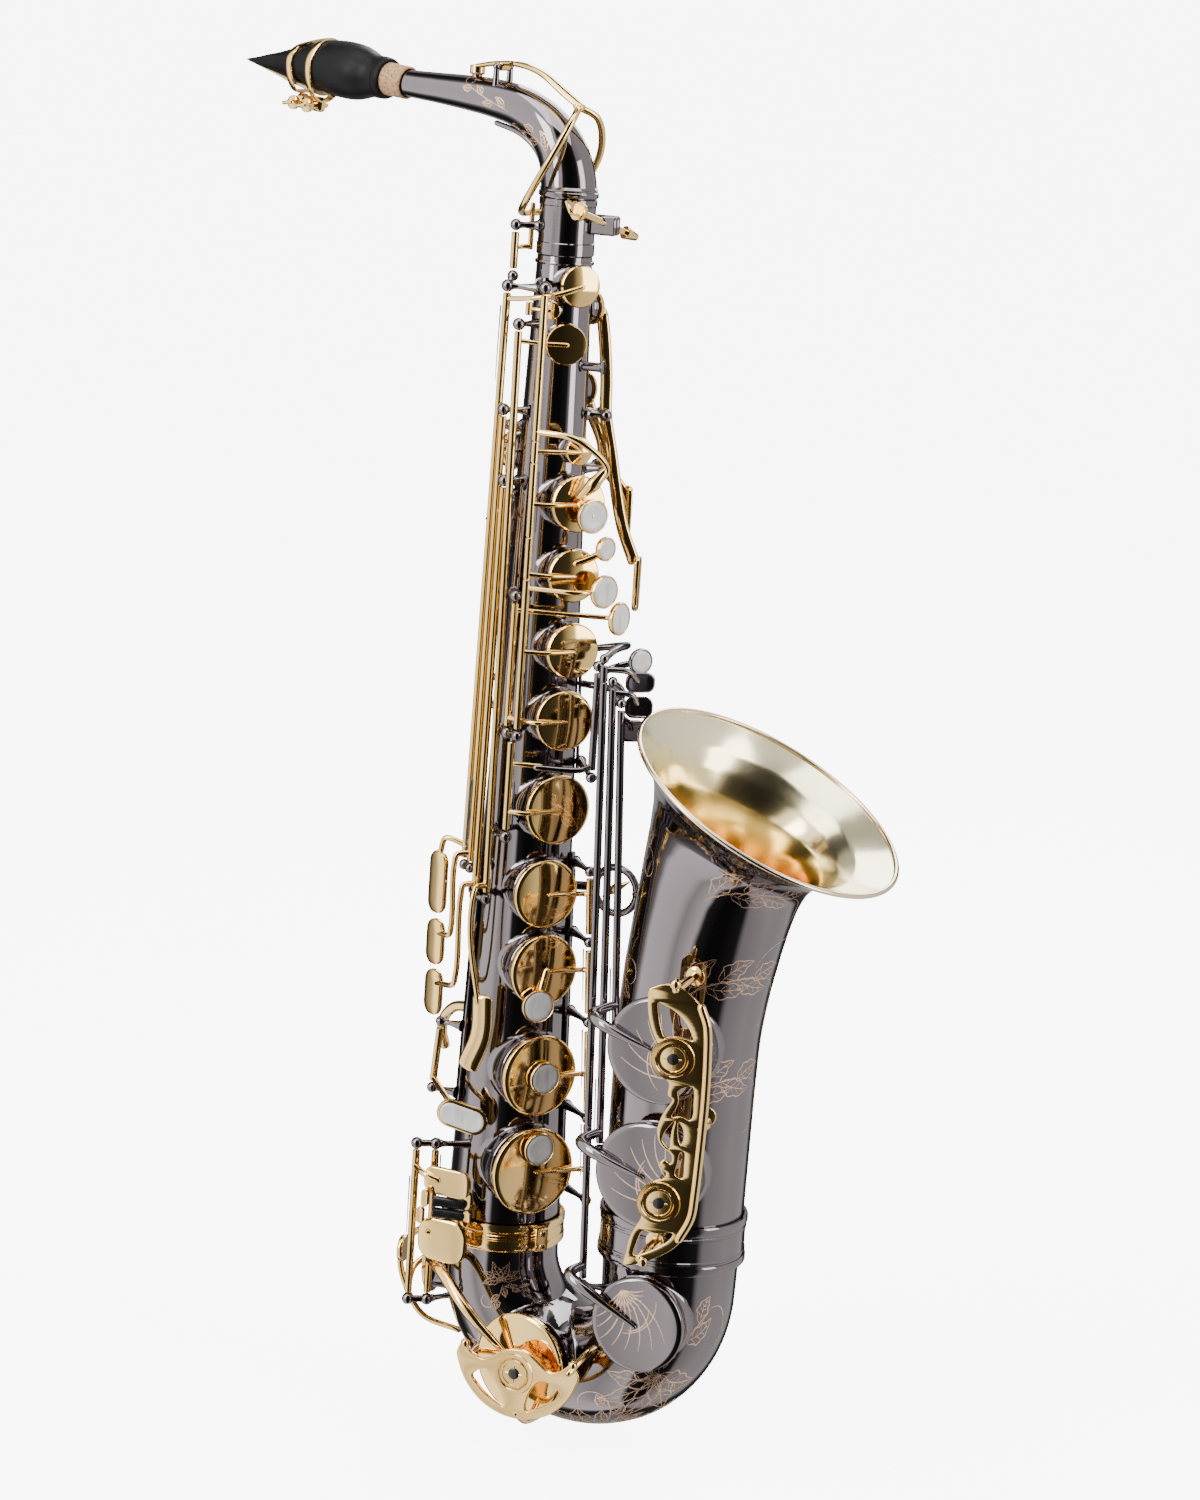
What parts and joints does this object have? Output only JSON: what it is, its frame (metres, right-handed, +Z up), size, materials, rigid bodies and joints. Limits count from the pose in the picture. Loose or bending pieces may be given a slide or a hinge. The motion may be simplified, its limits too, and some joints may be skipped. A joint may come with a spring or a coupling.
{
  "type": "alto saxophone",
  "caption": "Alto saxophone: black tube, bow and flared bell, gold keywork on hinge rods, curved neck that turns in its socket, and a mouthpiece with reed.",
  "frame": {"origin": "centre of the strap ring on the back of the body tube", "axes": "+Z up along the body tube towards the neck, +X from the body tube to the bell, -Y the side the main key stacks face"},
  "size_m": [0.3808, 0.1356, 0.6381],
  "materials": {
    "black_nickel": "polished black nickel plate",
    "bell_black_nickel": "polished black nickel plate outside, pale lacquered brass inside",
    "gold_lacquer": "polished gold lacquer",
    "hard_rubber": "satin ebonite",
    "roller_plastic": "gloss black",
    "cork": "natural cork",
    "cane": "bare cane"
  },
  "bodies": {
    "body": {"body_tube": "black_nickel", "neck_receiver": "black_nickel", "body_bow_ring": "gold_lacquer", "bow": "black_nickel", "bell_bow_ring": "black_nickel", "bell": "bell_black_nickel", "bell_brace": "black_nickel", "left_rib": "black_nickel", "right_rib": "black_nickel", "side_rib": "black_nickel", "table_bracket": "black_nickel", "guard_low_b": "gold_lacquer", "guard_low_c": "gold_lacquer", "guard_low_eb": "gold_lacquer", "strap_ring": "black_nickel", "thumb_hook": "gold_lacquer", "thumb_rest": "hard_rubber"},
    "neck": {"neck_tube": "black_nickel", "neck_cork": "cork", "neck_brace": "black_nickel"},
    "mouthpiece_set": {"mouthpiece": "hard_rubber", "reed": "cane", "ligature": "gold_lacquer"},
    "receiver_screw": {"receiver_screw": "gold_lacquer"},
    "ligature_screw_rear": {"ligature_screw_rear": "gold_lacquer"},
    "ligature_screw_front": {"ligature_screw_front": "gold_lacquer"},
    "c_vent_key": {"c_vent_key": "gold_lacquer"},
    "b_key": {"b_key": "gold_lacquer"},
    "bis_key": {"bis_key": "gold_lacquer"},
    "a_key": {"a_key": "gold_lacquer"},
    "g_key": {"g_key": "gold_lacquer"},
    "front_f_key": {"front_f_key": "gold_lacquer"},
    "g_sharp_key": {"g_sharp_key": "gold_lacquer"},
    "g_sharp_lever": {"g_sharp_lever": "black_nickel"},
    "f_sharp_key": {"f_sharp_key": "gold_lacquer"},
    "f_key": {"f_key": "gold_lacquer"},
    "e_key": {"e_key": "gold_lacquer"},
    "d_key": {"d_key": "gold_lacquer"},
    "high_e_key": {"high_e_key": "gold_lacquer"},
    "high_f_sharp_key": {"high_f_sharp_key": "gold_lacquer"},
    "side_c_lever": {"side_c_lever": "gold_lacquer"},
    "side_bb_lever": {"side_bb_lever": "gold_lacquer"},
    "side_c_key": {"side_c_key": "gold_lacquer"},
    "side_bb_key": {"side_bb_key": "gold_lacquer"},
    "alt_f_sharp_key": {"alt_f_sharp_key": "gold_lacquer"},
    "low_eb_key": {"low_eb_key": "gold_lacquer"},
    "low_c_key": {"low_c_key": "gold_lacquer"},
    "eb_roller": {"eb_roller": "roller_plastic"},
    "c_roller": {"c_roller": "roller_plastic"},
    "low_b_key": {"low_b_key": "black_nickel"},
    "low_bb_key": {"low_bb_key": "black_nickel"},
    "low_c_sharp_lever": {"low_c_sharp_lever": "black_nickel"},
    "low_c_sharp_key": {"low_c_sharp_key": "black_nickel"},
    "palm_f_key": {"palm_f_key": "gold_lacquer"},
    "palm_eb_key": {"palm_eb_key": "gold_lacquer"},
    "palm_d_key": {"palm_d_key": "gold_lacquer"},
    "octave_pin_key": {"octave_pin_key": "gold_lacquer"},
    "octave_thumb_lever": {"octave_thumb_lever": "gold_lacquer"},
    "body_octave_key": {"body_octave_key": "gold_lacquer"},
    "neck_octave_key": {"neck_octave_key": "gold_lacquer"}
  },
  "joints": [
    {"name": "neck_swivel", "type": "hinge", "parent": "body", "child": "neck", "pos_m": [0.02696, -0.00981, 0.225], "axis": [0, 0, 1], "range_deg": [-15, 15]},
    {"name": "mouthpiece_slide", "type": "slide", "parent": "neck", "child": "mouthpiece_set", "axis": [-0.9828, 0.1662, 0.0802], "range_m": [-0.006, 0.008]},
    {"name": "receiver_screw_turn", "type": "hinge", "parent": "body", "child": "receiver_screw", "pos_m": [0.04053, -0.02468, 0.2305], "axis": [0.3233, 0.8935, -0.3118], "continuous": true},
    {"name": "ligature_screw_rear_turn", "type": "hinge", "parent": "mouthpiece_set", "child": "ligature_screw_rear", "pos_m": [-0.12703, 0.01623, 0.26374], "axis": [-0.1668, -0.986, 0], "continuous": true},
    {"name": "ligature_screw_front_turn", "type": "hinge", "parent": "mouthpiece_set", "child": "ligature_screw_front", "pos_m": [-0.13568, 0.01769, 0.26444], "axis": [-0.1668, -0.986, 0], "continuous": true},
    {"name": "c_vent_key_hinge", "type": "hinge", "parent": "body", "child": "c_vent_key", "pos_m": [0.03413, -0.03884, 0.195], "axis": [-0.0114, 0.0215, 0.9997], "range_deg": [0, 8], "stiffness_Nm_per_rad": 0.05, "springref_deg": -28.65},
    {"name": "b_key_hinge", "type": "hinge", "parent": "body", "child": "b_key", "pos_m": [0.03413, -0.03884, 0.195], "axis": [-0.0114, 0.0215, 0.9997], "range_deg": [0, 8], "stiffness_Nm_per_rad": 0.05, "springref_deg": -28.65},
    {"name": "bis_key_hinge", "type": "hinge", "parent": "body", "child": "bis_key", "pos_m": [0.03413, -0.03884, 0.195], "axis": [-0.0114, 0.0215, 0.9997], "range_deg": [0, 8], "stiffness_Nm_per_rad": 0.05, "springref_deg": -28.65},
    {"name": "a_key_hinge", "type": "hinge", "parent": "body", "child": "a_key", "pos_m": [0.03413, -0.03884, 0.195], "axis": [-0.0114, 0.0215, 0.9997], "range_deg": [0, 8], "stiffness_Nm_per_rad": 0.05, "springref_deg": -28.65},
    {"name": "g_key_hinge", "type": "hinge", "parent": "body", "child": "g_key", "pos_m": [0.0274, -0.0362, 0.051], "axis": [-0.0114, 0.0215, 0.9997], "range_deg": [0, 8], "stiffness_Nm_per_rad": 0.05, "springref_deg": -28.65},
    {"name": "front_f_key_hinge", "type": "hinge", "parent": "body", "child": "front_f_key", "pos_m": [0.03413, -0.03884, 0.195], "axis": [-0.0114, 0.0215, 0.9997], "range_deg": [0, 3], "stiffness_Nm_per_rad": 0.05, "springref_deg": -28.65},
    {"name": "g_sharp_key_hinge", "type": "hinge", "parent": "body", "child": "g_sharp_key", "pos_m": [0.03398, -0.04346, -0.012], "axis": [0.0104, -0.0196, -0.9998], "range_deg": [0, 8], "stiffness_Nm_per_rad": 0.05, "springref_deg": -28.65},
    {"name": "g_sharp_lever_hinge", "type": "hinge", "parent": "body", "child": "g_sharp_lever", "pos_m": [0.06811, -0.02757, 0.026], "axis": [-0.009, 0.017, 0.9998], "range_deg": [0, 4], "stiffness_Nm_per_rad": 0.05, "springref_deg": -28.65},
    {"name": "f_sharp_key_hinge", "type": "hinge", "parent": "body", "child": "f_sharp_key", "pos_m": [0.06516, -0.01668, -0.073], "axis": [0.053, 0.014, -0.9985], "range_deg": [0, 8], "stiffness_Nm_per_rad": 0.05, "springref_deg": -28.65},
    {"name": "f_key_hinge", "type": "hinge", "parent": "body", "child": "f_key", "pos_m": [0.06516, -0.01668, -0.073], "axis": [0.053, 0.014, -0.9985], "range_deg": [0, 8], "stiffness_Nm_per_rad": 0.05, "springref_deg": -28.65},
    {"name": "e_key_hinge", "type": "hinge", "parent": "body", "child": "e_key", "pos_m": [0.06516, -0.01668, -0.073], "axis": [0.053, 0.014, -0.9985], "range_deg": [0, 8], "stiffness_Nm_per_rad": 0.05, "springref_deg": -28.65},
    {"name": "d_key_hinge", "type": "hinge", "parent": "body", "child": "d_key", "pos_m": [0.06516, -0.01668, -0.073], "axis": [0.053, 0.014, -0.9985], "range_deg": [0, 8], "stiffness_Nm_per_rad": 0.05, "springref_deg": -28.65},
    {"name": "high_e_key_hinge", "type": "hinge", "parent": "body", "child": "high_e_key", "pos_m": [0.00864, -0.02861, 0.191], "axis": [-0.0098, -0.0094, -0.9999], "range_deg": [0, 7], "stiffness_Nm_per_rad": 0.05, "springref_deg": -28.65},
    {"name": "high_f_sharp_key_hinge", "type": "hinge", "parent": "body", "child": "high_f_sharp_key", "pos_m": [0.01955, -0.03527, 0.178], "axis": [0.0162, -0.0185, -0.9997], "range_deg": [0, 6], "stiffness_Nm_per_rad": 0.05, "springref_deg": -28.65},
    {"name": "side_c_lever_hinge", "type": "hinge", "parent": "body", "child": "side_c_lever", "pos_m": [0.01212, -0.03152, 0.135], "axis": [-0.0025, -0.0184, -0.9998], "range_deg": [0, 7], "stiffness_Nm_per_rad": 0.05, "springref_deg": -28.65},
    {"name": "side_bb_lever_hinge", "type": "hinge", "parent": "body", "child": "side_bb_lever", "pos_m": [0.01658, -0.03459, 0.103], "axis": [0.0015, -0.0216, -0.9998], "range_deg": [0, 7], "stiffness_Nm_per_rad": 0.05, "springref_deg": -28.65},
    {"name": "side_c_key_hinge", "type": "hinge", "parent": "body", "child": "side_c_key", "pos_m": [0.01126, -0.02246, 0.13], "axis": [0, 0, 1], "range_deg": [0, 8.75], "stiffness_Nm_per_rad": 0.05, "springref_deg": -28.65},
    {"name": "side_bb_key_hinge", "type": "hinge", "parent": "body", "child": "side_bb_key", "pos_m": [0.00985, -0.02344, 0.098], "axis": [0, 0, 1], "range_deg": [0, 8.75], "stiffness_Nm_per_rad": 0.05, "springref_deg": -28.65},
    {"name": "alt_f_sharp_key_hinge", "type": "hinge", "parent": "body", "child": "alt_f_sharp_key", "pos_m": [-0.00345, -0.02824, -0.159], "axis": [0.0617, 0.0328, 0.9976], "range_deg": [0, 4], "stiffness_Nm_per_rad": 0.05, "springref_deg": -28.65},
    {"name": "low_eb_key_hinge", "type": "hinge", "parent": "body", "child": "low_eb_key", "pos_m": [-0.00071, -0.04831, -0.211], "axis": [-0.0061, 0.0115, 0.9999], "range_deg": [0, 5], "stiffness_Nm_per_rad": 0.05, "springref_deg": -28.65},
    {"name": "low_c_key_hinge", "type": "hinge", "parent": "body", "child": "low_c_key", "pos_m": [0.00677, -0.0432, -0.211], "axis": [-0.0061, 0.0115, 0.9999], "range_deg": [0, 4.2], "stiffness_Nm_per_rad": 0.05, "springref_deg": -28.65},
    {"name": "eb_roller_spin", "type": "hinge", "parent": "low_eb_key", "child": "eb_roller", "pos_m": [0.01984, -0.05074, -0.2356], "axis": [0.8808, 0.4683, -0.0698], "continuous": true},
    {"name": "c_roller_spin", "type": "hinge", "parent": "low_c_key", "child": "c_roller", "pos_m": [0.01984, -0.05074, -0.2412], "axis": [0.8808, 0.4683, -0.0698], "continuous": true},
    {"name": "low_b_key_hinge", "type": "hinge", "parent": "body", "child": "low_b_key", "pos_m": [0.08531, -0.03542, 0.0124], "axis": [-0.0675, 0.023, 0.9975], "range_deg": [0, 6], "stiffness_Nm_per_rad": 0.05, "springref_deg": -28.65},
    {"name": "low_bb_key_hinge", "type": "hinge", "parent": "body", "child": "low_bb_key", "pos_m": [0.08134, -0.03753, 0.0222], "axis": [-0.0513, 0.014, 0.9986], "range_deg": [0, 6], "stiffness_Nm_per_rad": 0.05, "springref_deg": -28.65},
    {"name": "low_c_sharp_lever_hinge", "type": "hinge", "parent": "body", "child": "low_c_sharp_lever", "pos_m": [0.07736, -0.03964, 0.0325], "axis": [-0.0411, 0.0088, 0.9991], "range_deg": [0, 5], "stiffness_Nm_per_rad": 0.05, "springref_deg": -28.65},
    {"name": "low_c_sharp_key_hinge", "type": "hinge", "parent": "body", "child": "low_c_sharp_key", "pos_m": [0.07736, -0.03964, 0.0325], "axis": [0.0411, -0.0088, -0.9991], "range_deg": [0, 5], "stiffness_Nm_per_rad": 0.05, "springref_deg": -28.65},
    {"name": "palm_f_key_hinge", "type": "hinge", "parent": "body", "child": "palm_f_key", "pos_m": [0.04495, 0.00428, 0.137], "axis": [-0.6167, 0.7872, 0], "range_deg": [0, 5], "stiffness_Nm_per_rad": 0.05, "springref_deg": -28.65},
    {"name": "palm_eb_key_hinge", "type": "hinge", "parent": "body", "child": "palm_eb_key", "pos_m": [0.04111, 0.0147, 0.111], "axis": [-0.8661, 0.4999, 0], "range_deg": [0, 6], "stiffness_Nm_per_rad": 0.05, "springref_deg": -28.65},
    {"name": "palm_d_key_hinge", "type": "hinge", "parent": "body", "child": "palm_d_key", "pos_m": [0.01852, 0.01458, 0.105], "axis": [-0.945, -0.327, 0], "range_deg": [0, 6], "stiffness_Nm_per_rad": 0.05, "springref_deg": -28.65},
    {"name": "octave_pin_key_hinge", "type": "hinge", "parent": "body", "child": "octave_pin_key", "pos_m": [0.00853, -0.02414, 0.22], "axis": [0, 0, 1], "range_deg": [0, 8], "stiffness_Nm_per_rad": 0.05, "springref_deg": -28.65},
    {"name": "octave_thumb_lever_hinge", "type": "hinge", "parent": "body", "child": "octave_thumb_lever", "pos_m": [0.0073, 0.00154, 0.063], "axis": [-0.5, -0.866, 0], "range_deg": [0, 5], "stiffness_Nm_per_rad": 0.05, "springref_deg": -28.65},
    {"name": "body_octave_key_hinge", "type": "hinge", "parent": "body", "child": "body_octave_key", "pos_m": [0.02167, -0.03075, 0.185], "axis": [0, 0, -1], "range_deg": [0, 6], "stiffness_Nm_per_rad": 0.05, "springref_deg": -28.65},
    {"name": "neck_octave_key_hinge", "type": "hinge", "parent": "neck", "child": "neck_octave_key", "pos_m": [-0.01544, -0.00264, 0.2906], "axis": [0.1668, 0.986, 0], "range_deg": [0, 4], "stiffness_Nm_per_rad": 0.05, "springref_deg": -28.65}
  ],
  "couplings": [
    {"joint": "g_sharp_key_hinge", "follows": "g_sharp_lever_hinge", "ratio": 2},
    {"joint": "side_c_key_hinge", "follows": "side_c_lever_hinge", "ratio": 1.25},
    {"joint": "side_bb_key_hinge", "follows": "side_bb_lever_hinge", "ratio": 1.25},
    {"joint": "low_c_sharp_key_hinge", "follows": "low_c_sharp_lever_hinge", "ratio": 1},
    {"joint": "octave_pin_key_hinge", "follows": "octave_thumb_lever_hinge", "ratio": 1.6},
    {"joint": "neck_octave_key_hinge", "follows": "octave_thumb_lever_hinge", "ratio": 0.8},
    {"joint": "c_vent_key_hinge", "follows": "b_key_hinge", "ratio": 1},
    {"joint": "bis_key_hinge", "follows": "a_key_hinge", "ratio": 1},
    {"joint": "f_sharp_key_hinge", "follows": "f_key_hinge", "ratio": 1}
  ]
}
